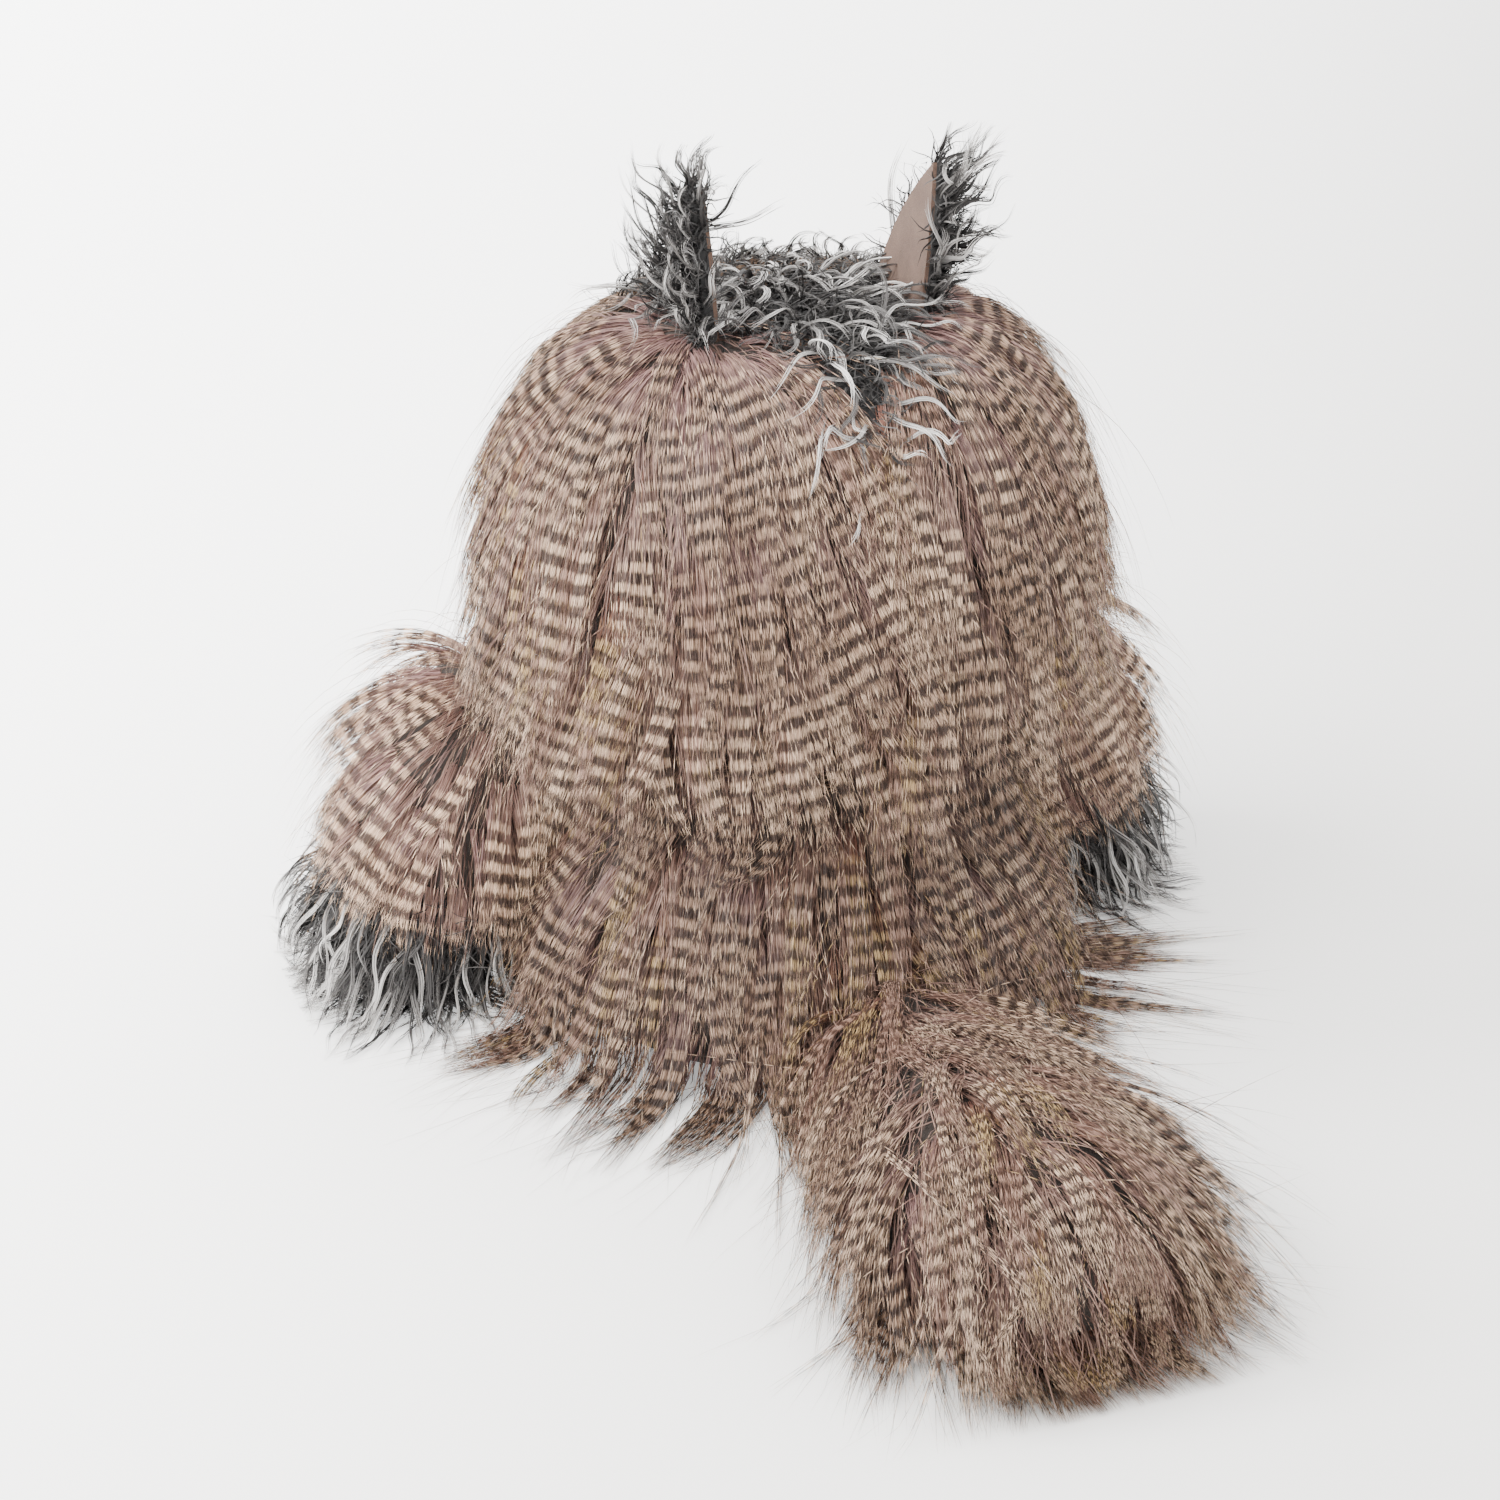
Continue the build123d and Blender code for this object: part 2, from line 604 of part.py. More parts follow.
# ---- tail: a round root and a long flattened body, resting on the floor ----
def tail_form(inset):
    """The tail's closed form, moved inwards, before it is cut flat on the floor."""
    radii = [(r - inset, y) for y, r in TAIL_STATIONS[:-1]]
    end = (TAIL_STATIONS[-1][1] - inset, TAIL_STATIONS[-1][0] - inset)
    root = (TAIL_R - inset, TAIL_Y)
    with BuildSketch() as section:
        with BuildLine():
            CenterArc((0, TAIL_Y), TAIL_R - inset, -90, 90)
            Spline(root, *radii, end, tangents=((0, 1), (-1, 0.3)))
            Line(end, (0, end[1]))
            Line((0, end[1]), (0, TAIL_Y - TAIL_R + inset))
        make_face()
    with BuildPart() as turned:
        revolve(section.sketch, axis=Axis.Y)
    flattened = scale(turned.part, by=(1, 1, TAIL_FLAT))
    return flattened.moved(Location((0, 0, TAIL_Z)))


with BuildSketch(Plane.XY.offset(TAIL_Z - TAB_W / 2 - GAP)) as tail_wedge:
    with Locations((0, TAIL_Y)):
        half_turn = TAIL_SWING + TAB_SPARE
        Polygon(*tab_wedge_points(-90 - half_turn, -90 + half_turn, TAIL_R * 1.5), align=None)
        Circle(TAB_T * 2.5)

tail_outer = tail_form(0)
tail_inner = tail_form(CLOTH)
tail_fill = tail_form(CLOTH + FIT)

with BuildPart() as tail_cavity:
    add(tail_inner)
    split(bisect_by=floor_plane(CLOTH), keep=Keep.TOP)

with BuildPart() as tail_cover:
    add(tail_outer)
    split(bisect_by=floor_plane(0), keep=Keep.TOP)
    add(tail_cavity.part, mode=Mode.SUBTRACT)
    extrude(tail_wedge.sketch, amount=TAB_W + 2 * GAP, mode=Mode.SUBTRACT)
save(tail_cover, "tail_cover")

with BuildPart() as tail_stuffing:
    add(tail_fill)
    split(bisect_by=floor_plane(CLOTH + FIT), keep=Keep.TOP)
    extrude(tail_wedge.sketch, amount=TAB_W + 2 * GAP, mode=Mode.SUBTRACT)
save(tail_stuffing, "tail_stuffing")
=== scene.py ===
import json
from math import cos, pi, radians, sin
from typing import NamedTuple

import bpy
import numpy as np
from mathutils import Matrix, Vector


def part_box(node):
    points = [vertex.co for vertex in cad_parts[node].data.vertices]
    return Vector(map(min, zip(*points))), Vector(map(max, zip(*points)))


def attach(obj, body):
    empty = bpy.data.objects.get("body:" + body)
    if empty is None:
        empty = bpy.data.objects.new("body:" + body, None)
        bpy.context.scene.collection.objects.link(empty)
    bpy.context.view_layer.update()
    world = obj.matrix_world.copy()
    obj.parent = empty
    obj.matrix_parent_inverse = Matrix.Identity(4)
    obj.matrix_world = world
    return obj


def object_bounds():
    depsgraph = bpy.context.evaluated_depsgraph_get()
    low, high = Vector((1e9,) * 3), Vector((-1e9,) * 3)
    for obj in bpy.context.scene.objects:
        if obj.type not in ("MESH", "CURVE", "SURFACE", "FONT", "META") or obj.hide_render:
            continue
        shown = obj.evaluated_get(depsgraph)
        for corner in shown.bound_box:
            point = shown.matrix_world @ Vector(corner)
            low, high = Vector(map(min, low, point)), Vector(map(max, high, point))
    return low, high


# A sitting stuffed animal of striped long-pile fur, with curly grey paws and ears and a long tail.
# Metres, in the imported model's frame: it faces -Y and sits on z = 0.

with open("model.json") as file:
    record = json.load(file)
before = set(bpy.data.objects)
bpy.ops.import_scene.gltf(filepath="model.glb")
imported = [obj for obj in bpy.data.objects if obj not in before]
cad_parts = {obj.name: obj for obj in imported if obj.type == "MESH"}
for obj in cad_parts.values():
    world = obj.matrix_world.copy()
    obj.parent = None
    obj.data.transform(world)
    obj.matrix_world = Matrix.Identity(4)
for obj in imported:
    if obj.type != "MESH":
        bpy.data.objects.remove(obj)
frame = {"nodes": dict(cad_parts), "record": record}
cad_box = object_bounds()
nodes = frame["nodes"]
rng = np.random.default_rng(7)
UP = np.array((0.0, 0.0, 1.0))
SIDES = {"left": 1, "right": -1}   # the sign of X
BLACK, WHITE = (0, 0, 0), (1, 1, 1)

FUR_UV = "OFBake"
VARIANTS = 32            # columns of the fur's own UV: 8 band phases times 4 tints
PHASES = 8
BAND = 0.0092            # distance between bands
FULL = 0.110             # hair length that fills the fur's UV from root to tip
DENSITY = 0.72
FLOOR_LIFT = 0.0012      # fur lies this far above the floor
ROOM = 0.008             # how far fur may stand out of the CAD box,
ROOM_SHARE = 0.025       # plus this share of each side

TUFT_SHARE = 0.16        # share of the locks that lead a tuft when the leaders stand TUFT_BASE apart
TUFT_BASE = 0.02
TUFT_GAP = 0.013         # how far apart they stand here
DRIFT = 0.22             # sideways drift of the pile, as a share of its flow
LOCK_HAIRS, LOCK_RADIUS = 38, 0.0066
WISP_HAIRS, WISP_RADIUS = 9, 0.0022
CURL_HAIRS, CURL_RADIUS = 9, 0.0021
CURL_TURNS = (0.8, 1.9)  # fewest and most turns of a curl
DARK_VARIANTS = VARIANTS * 5 // 8   # the curly fur's darker columns

# Widths of the ribbons that stand for hairs or small bundles of them
LOCK_WIDTH = 0.00046
SINGLE_WIDTH = 0.00030
WISP_WIDTH = 0.00042
SOFT_WIDTH = 0.0007
CURL_WIDTH = 0.00052
FUZZ_WIDTH = 0.0008
PRESSED_WIDTH = 0.0016
RIBBON_TIP = 0.08        # width of a ribbon's end, as a share of its root
RIBBON_TWIST = 0.7       # how much the ribbons differ in the way they face


# ---------------------------------------------------------------- camera, light, floor
def aim(obj, at):
    obj.rotation_euler = (Vector(at) - obj.location).to_track_quat("-Z", "Y").to_euler()


def add_camera():
    azimuth, elevation, distance = radians(160), radians(26), 1.42
    target = Vector((0.037, 0.057, 0.150))
    data = bpy.data.cameras.new("camera")
    data.lens = 75
    data.sensor_width = 36
    camera = bpy.data.objects.new("camera", data)
    bpy.context.collection.objects.link(camera)
    away = Vector((sin(azimuth) * cos(elevation), -cos(azimuth) * cos(elevation), sin(elevation)))
    camera.location = target + away * distance
    aim(camera, target)
    bpy.context.scene.camera = camera


def add_area(name, place, at, size, power, colour=WHITE):
    data = bpy.data.lights.new(name, "AREA")
    data.shape = "DISK"
    data.size = size
    data.energy = power
    data.color = colour
    light = bpy.data.objects.new(name, data)
    bpy.context.collection.objects.link(light)
    light.location = place
    aim(light, at)


def add_stage():
    world = bpy.data.worlds.new("studio")
    world.use_nodes = True
    world.node_tree.nodes["Background"].inputs["Color"].default_value = (1.0, 0.995, 0.985, 1)
    world.node_tree.nodes["Background"].inputs["Strength"].default_value = 2.1
    bpy.context.scene.world = world
    middle = (0, 0.05, 0.15)
    add_area("key", (1.5, 1.0, 2.1), middle, 1.6, 120, (1, 0.985, 0.96))
    add_area("top", (-0.4, 0.2, 2.4), middle, 2.2, 50)
    add_area("fill", (-1.9, 1.4, 1.1), middle, 1.8, 24, (0.97, 0.98, 1))
    add_area("backdrop", (2.6, -0.6, 2.2), (1.5, -2.2, 0), 2.0, 260)
    bpy.ops.mesh.primitive_grid_add(x_subdivisions=8, y_subdivisions=8, size=16)
    floor = bpy.context.object
    floor.name = "floor"
    floor.data.materials.append(floor_material())


# ---------------------------------------------------------------- materials
class Nodes:
    """Short calls for building a node tree."""

    def __init__(self, name):
        self.material = bpy.data.materials.new(name)
        self.material.use_nodes = True
        self.tree = self.material.node_tree
        self.shader = self.tree.nodes["Principled BSDF"]

    def add(self, kind, **values):
        node = self.tree.nodes.new(kind)
        for key, value in values.items():
            setattr(node, key, value)
        return node

    def feed(self, socket, value):
        if isinstance(value, bpy.types.NodeSocket):
            self.tree.links.new(value, socket)
        else:
            socket.default_value = value

    def math(self, operation, *values):
        node = self.add("ShaderNodeMath", operation=operation)
        for socket, value in zip(node.inputs, values):
            self.feed(socket, value)
        return node.outputs[0]

    def mix(self, share, low, high, blend="MIX"):
        node = self.add("ShaderNodeMix", data_type="RGBA", blend_type=blend)
        self.feed(node.inputs[0], share)
        self.feed(node.inputs[6], low)
        self.feed(node.inputs[7], high)
        return node.outputs[2]

    def ramp(self, value, stops):
        node = self.add("ShaderNodeValToRGB")
        self.feed(node.inputs[0], value)
        points = node.color_ramp.elements
        while len(points) < len(stops):
            points.new(0.5)
        for point, (place, colour) in zip(points, stops):
            point.position = place
            point.color = colour if len(colour) == 4 else (*colour, 1)
        return node.outputs[0]

    def noise(self, scale, detail=4, vector=None, rough=0.6):
        node = self.add("ShaderNodeTexNoise")
        node.inputs["Scale"].default_value = scale
        node.inputs["Detail"].default_value = detail
        node.inputs["Roughness"].default_value = rough
        if vector is None:
            vector = self.add("ShaderNodeTexCoord").outputs["Object"]
        self.feed(node.inputs["Vector"], vector)
        return node.outputs[0]

    def paint(self, colour):
        self.feed(self.shader.inputs["Base Color"], colour)

    def set(self, name, value):
        self.shader.inputs[name].default_value = value

    def bump(self, height, strength, distance):
        node = self.add("ShaderNodeBump")
        node.inputs["Strength"].default_value = strength
        node.inputs["Distance"].default_value = distance
        self.feed(node.inputs["Height"], height)
        self.feed(self.shader.inputs["Normal"], node.outputs[0])


def plain_material(name, colour, roughness):
    kit = Nodes(name)
    tone = kit.ramp(kit.noise(3.0), ((0.3, [c * 0.97 for c in colour]), (0.7, colour)))
    kit.paint(tone)
    kit.set("Roughness", roughness)
    return kit.material


def floor_material():
    """White paper with painted light: its colour and a painted glow are brighter towards +X and -Y, where a
    studio sweep catches more light.
    """
    kit = Nodes("floor_paper")
    split = kit.add("ShaderNodeSeparateXYZ")
    kit.feed(split.inputs[0], kit.add("ShaderNodeTexCoord").outputs["Object"])
    across = kit.math("SUBTRACT", split.outputs[0], split.outputs[1])
    place = kit.math("DIVIDE", kit.math("ADD", across, 1.0), 6.0)
    grain = kit.math("MULTIPLY", kit.noise(3.0), 0.01)
    kit.paint(kit.ramp(kit.math("ADD", place, grain),
                       ((0.04, (0.70, 0.69, 0.675)), (0.30, (0.95, 0.945, 0.935)))))
    # painted glow: the paper gives off light of its own, stronger towards +X and -Y
    kit.feed(kit.shader.inputs["Emission Color"], kit.ramp(place, ((0.12, BLACK), (0.75, WHITE))))
    kit.set("Emission Strength", 6.0)
    kit.set("Roughness", 0.9)
    return kit.material


def fur_coordinates(kit):
    """Variant number and place along the hair, root 0 to tip 1, from the fur's own UV."""
    uv = kit.add("ShaderNodeUVMap", uv_map=FUR_UV).outputs[0]
    split = kit.add("ShaderNodeSeparateXYZ")
    kit.feed(split.inputs[0], uv)
    variant = kit.math("FLOOR", kit.math("MULTIPLY", split.outputs[0], VARIANTS))
    return variant, split.outputs[1]


def fur_finish(kit, roughness, sheen):
    kit.set("Roughness", roughness)
    kit.set("Specular IOR Level", 0.25)
    kit.set("Sheen Weight", sheen)
    kit.set("Sheen Roughness", 0.4)


def striped_material(name, shade):
    """Guard hairs with brown bands on cream, mauve at the root. The variant sets phase and tint, and shade
    paints light (above 1) and shade (below 1).
    """
    kit = Nodes(name)
    variant, along = fur_coordinates(kit)
    phase = kit.math("DIVIDE", kit.math("MODULO", variant, PHASES), PHASES)
    tint = kit.math("DIVIDE", kit.math("FLOOR", kit.math("DIVIDE", variant, PHASES)), VARIANTS / PHASES - 1)
    turns = kit.math("FRACT", kit.math("ADD", kit.math("MULTIPLY", along, FULL / BAND), phase))
    light = kit.ramp(tint, ((0.0, (0.34, 0.225, 0.155)), (0.34, (0.54, 0.385, 0.27)),
                            (0.67, (0.30, 0.185, 0.14)), (1.0, (0.42, 0.29, 0.14))))
    dark = kit.ramp(tint, ((0.0, (0.024, 0.015, 0.010)), (0.4, (0.036, 0.023, 0.016)),
                           (0.7, (0.052, 0.025, 0.016)), (1.0, (0.040, 0.026, 0.013))))
    band = kit.ramp(turns, ((0.0, BLACK), (0.22, BLACK), (0.36, WHITE), (0.66, WHITE), (0.80, BLACK)))
    banded = kit.mix(band, dark, light)
    root = kit.ramp(tint, ((0.0, (0.20, 0.115, 0.108)), (0.5, (0.25, 0.155, 0.125)),
                           (1.0, (0.21, 0.095, 0.070))))
    shown = kit.ramp(along, ((0.10, BLACK), (0.27, (0.9, 0.9, 0.9)), (1.0, WHITE)))
    # painted light and shade: shade multiplies the whole colour, darkening or lightening one part of the body
    # against the rest
    painted_shading = kit.add("ShaderNodeRGB")
    painted_shading.outputs[0].default_value = (shade, shade * 0.985, shade * 0.97, 1)
    kit.paint(kit.mix(1.0, kit.mix(shown, root, banded), painted_shading.outputs[0], "MULTIPLY"))
    fur_finish(kit, 0.5, 0.03)
    return kit.material


def down_material(name, dark, light):
    """Soft unstriped fibres: an even tone that differs from hair to hair."""
    kit = Nodes(name)
    variant, along = fur_coordinates(kit)
    noise = kit.add("ShaderNodeTexWhiteNoise", noise_dimensions="1D")
    kit.feed(noise.inputs["W"], variant)
    tone = kit.ramp(noise.outputs[0], ((0.0, dark), (1.0, light)))
    shade = kit.ramp(along, ((0.0, (0.55, 0.55, 0.55)), (0.6, WHITE)))
    kit.paint(kit.mix(1.0, tone, shade, "MULTIPLY"))
    fur_finish(kit, 0.6, 0.03)
    return kit.material


def curly_material():
    """Grey curly locks: charcoal in the low variants, and almost white towards the tip in the high."""
    kit = Nodes("curly_fur_fibre")
    variant, along = fur_coordinates(kit)
    tint = kit.math("DIVIDE", variant, VARIANTS - 1)
    tip = kit.ramp(tint, ((0.0, (0.014, 0.0132, 0.013)), (0.45, (0.045, 0.042, 0.041)),
                          (0.66, (0.15, 0.142, 0.138)), (0.80, (0.44, 0.42, 0.405)),
                          (1.0, (0.64, 0.62, 0.60))))
    root = kit.ramp(tint, ((0.0, (0.010, 0.0095, 0.0095)), (0.7, (0.030, 0.028, 0.028)),
                           (1.0, (0.16, 0.152, 0.148))))
    kit.paint(kit.mix(kit.ramp(along, ((0.05, BLACK), (0.6, WHITE))), root, tip))
    fur_finish(kit, 0.45, 0.03)
    return kit.material


def cloth_material(name, dark, light, scale=900, bump=0.0004):
    """Knitted or woven backing with a fine grain."""
    kit = Nodes(name)
    grain = kit.noise(scale, 3)
    broad = kit.noise(25, 3)
    tone = kit.ramp(kit.math("ADD", kit.math("MULTIPLY", grain, 0.6), kit.math("MULTIPLY", broad, 0.4)),
                    ((0.35, dark), (0.65, light)))
    kit.paint(tone)
    kit.set("Roughness", 0.9)
    kit.set("Sheen Weight", 0.05)
    kit.bump(grain, 0.6, bump)
    return kit.material


def suede_material():
    """Brushed brown suede: fine nap with soft darker patches."""
    kit = Nodes("suede_nap")
    nap = kit.noise(2200, 2)
    cloud = kit.noise(60, 4)
    tone = kit.ramp(kit.math("ADD", kit.math("MULTIPLY", nap, 0.5), kit.math("MULTIPLY", cloud, 0.5)),
                    ((0.32, (0.055, 0.030, 0.021)), (0.68, (0.13, 0.078, 0.056))))
    kit.paint(tone)
    kit.set("Roughness", 0.95)
    kit.set("Sheen Weight", 0.06)
    kit.bump(nap, 0.7, 0.0003)
    return kit.material


def eye_material():
    kit = Nodes("eye_glass")
    tone = kit.ramp(kit.noise(90, 2), ((0.3, (0.010, 0.006, 0.004)), (0.8, (0.035, 0.018, 0.010))))
    kit.paint(tone)
    kit.set("Roughness", 0.06)
    kit.set("Coat Weight", 0.3)
    kit.set("Specular IOR Level", 0.35)
    return kit.material


def nose_material():
    kit = Nodes("nose_leatherette")
    grain = kit.noise(700, 3)
    kit.paint(kit.ramp(grain, ((0.3, (0.012, 0.010, 0.010)), (0.7, (0.05, 0.042, 0.04)))))
    kit.set("Roughness", 0.55)
    kit.set("Specular IOR Level", 0.25)
    kit.bump(grain, 0.5, 0.0004)
    return kit.material


# ---------------------------------------------------------------- fur
def triangles(name):
    """Corner points of a CAD node's triangles, as an (n, 3, 3) array."""
    mesh = nodes[name].data
    mesh.calc_loop_triangles()
    points = np.empty(len(mesh.vertices) * 3)
    mesh.vertices.foreach_get("co", points)
    corners = np.empty(len(mesh.loop_triangles) * 3, dtype=np.int32)
    mesh.loop_triangles.foreach_get("vertices", corners)
    return points.reshape(-1, 3)[corners.reshape(-1, 3)]


def unit(vectors):
    return vectors / np.maximum(np.linalg.norm(vectors, axis=-1, keepdims=True), 1e-9)


def spine_away(points, start, end):
    """Unit directions from a limb's middle line to points on it."""
    start, end = np.array(start), np.array(end)
    line = end - start
    share = np.clip((points - start) @ line / (line @ line), 0, 1)
    return unit(points - start - share[:, None] * line)


def outer_points(name, spine, density, least=0.3, allow=None):
    """Random points on the outside of a CAD shell, with normals, where allow lets them stand.
    density is points to a square metre before DENSITY thins them, and least is how squarely the outside
    has to face away from the spine."""
    tri = triangles(name)
    cross = np.cross(tri[:, 1] - tri[:, 0], tri[:, 2] - tri[:, 0])
    area = np.linalg.norm(cross, axis=1) / 2
    normal = unit(cross)
    middle = tri.mean(axis=1)
    keep = (np.einsum("ij,ij->i", normal, spine_away(middle, *spine)) > least) & (area > 0)
    tri, area, normal = tri[keep], area[keep], normal[keep]
    count = int(area.sum() * (density * DENSITY))
    pick = rng.choice(len(area), size=count, p=area / area.sum())
    a, b = rng.random((2, count, 1))
    flip = (a + b) > 1
    a, b = np.where(flip, 1 - a, a), np.where(flip, 1 - b, b)
    corner = tri[pick]
    points = corner[:, 0] + a * (corner[:, 1] - corner[:, 0]) + b * (corner[:, 2] - corner[:, 0])
    normal = normal[pick]
    if allow is None:
        return points, normal
    keep = allow(points, normal)
    return points[keep], normal[keep]


def along_surface(flow, normal):
    """A flow direction kept out of the surface; half of what points away from it stays."""
    away = np.einsum("ij,ij->i", flow, normal)[:, None]
    return unit(flow - np.where(away > 0, 0.5, 1.0) * away * normal)


def grow(root, normal, flow, length, steps, lift, drop, settle=0.0):
    """Middle lines of locks as (n, steps + 1, 3): out of the skin, over along the flow, then down.
    Where one would go through the floor, it slides outward along it instead."""
    settle = settle(root) if callable(settle) else settle
    lift = lift(normal) if callable(lift) else lift
    path = [root]
    step = (length / steps)[:, None]
    for index in range(steps):
        t = (index + 0.5) / steps
        direction = unit(normal * (lift * (1 - t) ** 1.5 - settle * t) + flow - UP * drop * t)
        point = path[-1] + direction * step
        low = np.minimum(point[:, 2] - FLOOR_LIFT, 0)
        sideways = unit(np.column_stack((direction[:, :2] + normal[:, :2] * 0.8, np.zeros(len(point)))))
        point = point + sideways * (-low[:, None]) * 0.8
        point[:, 2] = np.maximum(point[:, 2], FLOOR_LIFT)
        path.append(point)
    return np.stack(path, axis=1)


def gather_tufts(root, path, pull):
    """Draw neighbouring locks together into tufts."""
    count = max(1, int(len(root) * TUFT_SHARE / (TUFT_GAP / TUFT_BASE) ** 2))
    leaders = rng.choice(len(root), size=count, replace=False)
    nearest = np.empty(len(root), dtype=int)
    batch = 500
    for start in range(0, len(root), batch):
        gap = np.linalg.norm(root[start:start + batch, None] - root[leaders][None], axis=2)
        nearest[start:start + batch] = leaders[np.argmin(gap, axis=1)]
    t = np.linspace(0, 1, path.shape[1])[None, :, None]
    return path + (path[nearest] - path) * pull * t**1.6


def spread_clumps(path, normal, children, radius, gather, stray, trim=0.22):
    """Hairs around each lock's middle line, apart at the root and drawn together towards the tip.
    Returns them with the share of the lock's length that each one keeps: trim is the most that it loses."""
    count, stations, _ = path.shape
    t = np.linspace(0, 1, stations)
    around = unit(np.cross(path[:, 1] - path[:, 0], normal))
    over = np.cross(unit(path[:, 1] - path[:, 0]), around)
    angle = rng.random((count, children)) * 2 * pi
    reach = np.sqrt(rng.random((count, children))) * radius
    side = (np.cos(angle) * reach)[..., None] * around[:, None]
    side = side + (np.sin(angle) * reach)[..., None] * over[:, None] * 0.3
    kept = 1 - rng.random((count, children)) * trim
    where = kept[..., None] * t * (stations - 1)
    low = np.minimum(where.astype(int), stations - 2)
    part = (where - low)[..., None]
    lock = np.arange(count)[:, None, None]
    hairs = path[lock, low] * (1 - part) + path[lock, low + 1] * part
    far = (kept[..., None] * t)[..., None]
    bend = rng.normal(0, stray, (count, children, 1, 3)) * far**2
    along = unit(path[:, -1] - path[:, 0])[:, None, None]
    lengthwise = np.einsum("ijkl,ijkl->ijk", bend, np.broadcast_to(along, bend.shape))[..., None]
    bend = bend - lengthwise * along * 0.8
    hairs = hairs + side[:, :, None] * (1 - gather * far**1.2) + bend
    hairs[..., 2] = np.maximum(hairs[..., 2], FLOOR_LIFT * rng.uniform(0.5, 2.5, hairs.shape[:3]))
    return hairs.reshape(-1, stations, 3), kept.ravel()


def keep_in_room(hairs):
    """Shorten hairs that would reach past the room round the CAD box."""
    low, high = (np.array(p) for p in cad_box)
    spare = (high - low) * ROOM_SHARE + ROOM
    start = hairs[:, :1]
    moved = hairs - start
    with np.errstate(divide="ignore", invalid="ignore"):
        over = np.where(moved > 1e-6, (high + spare - start) / moved, np.inf)
        under = np.where(moved < -1e-6, (low - spare - start) / moved, np.inf)
    under[..., 2] = np.inf
    fit = np.clip(np.minimum(over, under).min(axis=(1, 2)), 0.1, 1)
    return start + moved * fit[:, None, None]


class Layer(NamedTuple):
    """Hairs that share one material and width."""
    hairs: np.ndarray                # middle lines, (n, stations, 3)
    facing: np.ndarray               # the way each ribbon's flat side faces
    width: float
    variants: np.ndarray             # each hair's column of the fur's UV
    share: np.ndarray                # share of the UV's length that each hair fills
    material: bpy.types.Material


def ribbons(hairs, facing, width):
    """Tapered flat fibres as vertices, quads and place along the hair."""
    count, stations, _ = hairs.shape
    t = np.linspace(0, 1, stations)
    tangent = unit(np.gradient(hairs, axis=1))
    facing = unit(facing + rng.normal(0, RIBBON_TWIST, facing.shape))
    side = unit(np.cross(tangent, facing[:, None]))
    taper = (1 - (1 - RIBBON_TIP) * t**2.2)[None, :, None]
    half = side * taper * (width / 2)
    points = np.stack((hairs - half, hairs + half), axis=2).reshape(-1, 3)
    base = (np.arange(count) * stations * 2)[:, None] + (np.arange(stations - 1) * 2)[None]
    quads = np.stack((base, base + 1, base + 3, base + 2), axis=-1).reshape(-1, 4)
    return points, quads, t


def fur_mesh(name, layers):
    """One mesh from layers of hairs."""
    all_points, all_quads, all_uv, all_slots, start = [], [], [], [], 0
    mesh = bpy.data.meshes.new(name)
    for slot, layer in enumerate(layers):
        points, quads, t = ribbons(keep_in_room(layer.hairs), layer.facing, layer.width)
        u = (layer.variants[:, None, None] + np.array((0.25, 0.75))) / VARIANTS
        u = np.broadcast_to(u, (len(layer.variants), len(t), 2))
        v = np.broadcast_to((0.01 + 0.98 * t[None] * layer.share[:, None])[:, :, None], u.shape)
        uv = np.stack((u, v), axis=-1).reshape(-1, 2)
        all_points.append(points)
        all_quads.append(quads + start)
        all_uv.append(uv[quads.ravel()])
        all_slots.append(np.full(len(quads), slot, dtype=np.int32))
        start += len(points)
        mesh.materials.append(layer.material)
    points, quads = np.concatenate(all_points), np.concatenate(all_quads)
    mesh.vertices.add(len(points))
    mesh.vertices.foreach_set("co", points.ravel())
    mesh.loops.add(quads.size)
    mesh.loops.foreach_set("vertex_index", quads.ravel().astype(np.int32))
    mesh.polygons.add(len(quads))
    mesh.polygons.foreach_set("loop_start", np.arange(len(quads), dtype=np.int32) * 4)
    mesh.polygons.foreach_set("material_index", np.concatenate(all_slots))
    mesh.update(calc_edges=True)
    mesh.uv_layers.new(name=FUR_UV).data.foreach_set("uv", np.concatenate(all_uv).ravel())
    mesh.polygons.foreach_set("use_smooth", np.ones(len(quads), dtype=bool))
    piece = bpy.data.objects.new(name, mesh)
    bpy.context.collection.objects.link(piece)
    return piece


def band_variant(row, tints):
    """Variant whose phase lines the bands of neighbouring locks up across the flow."""
    phase = (row / BAND + rng.normal(0, 0.10, len(row))) % 1.0
    return (np.floor(phase * PHASES) + PHASES * tints).astype(int)


def patchy_tint(points, pale=0.0):
    """A tint for each lock, in patches: taupe, cream, mauve or yellowish. pale makes more of them cream."""
    wave = np.sin(points[:, 0] * 61 + 1.3) + np.sin(points[:, 2] * 47 + points[:, 1] * 38)
    wave = wave + rng.normal(0, 0.9, len(points))
    return np.digitize(wave, (-0.6 - pale, 1.0 + pale, 2.3 + pale)).astype(int)


def scaled(lift, by):
    """A lift, which is a number or a function of the normal, times a factor."""
    return (lambda normal: lift(normal) * by) if callable(lift) else lift * by


def swirl(points):
    """Gentle sideways drift of the pile that neighbouring locks share."""
    x, y, z = points.T * 2 * pi
    return DRIFT * np.column_stack((np.sin(z / 0.11 + y / 0.09) + 0.6 * np.sin(z / 0.043 + x / 0.06),
                                    np.sin(x / 0.10 + z / 0.13) + 0.6 * np.sin(x / 0.05 - z / 0.05),
                                    0.5 * np.sin(x / 0.08 + y / 0.08)))


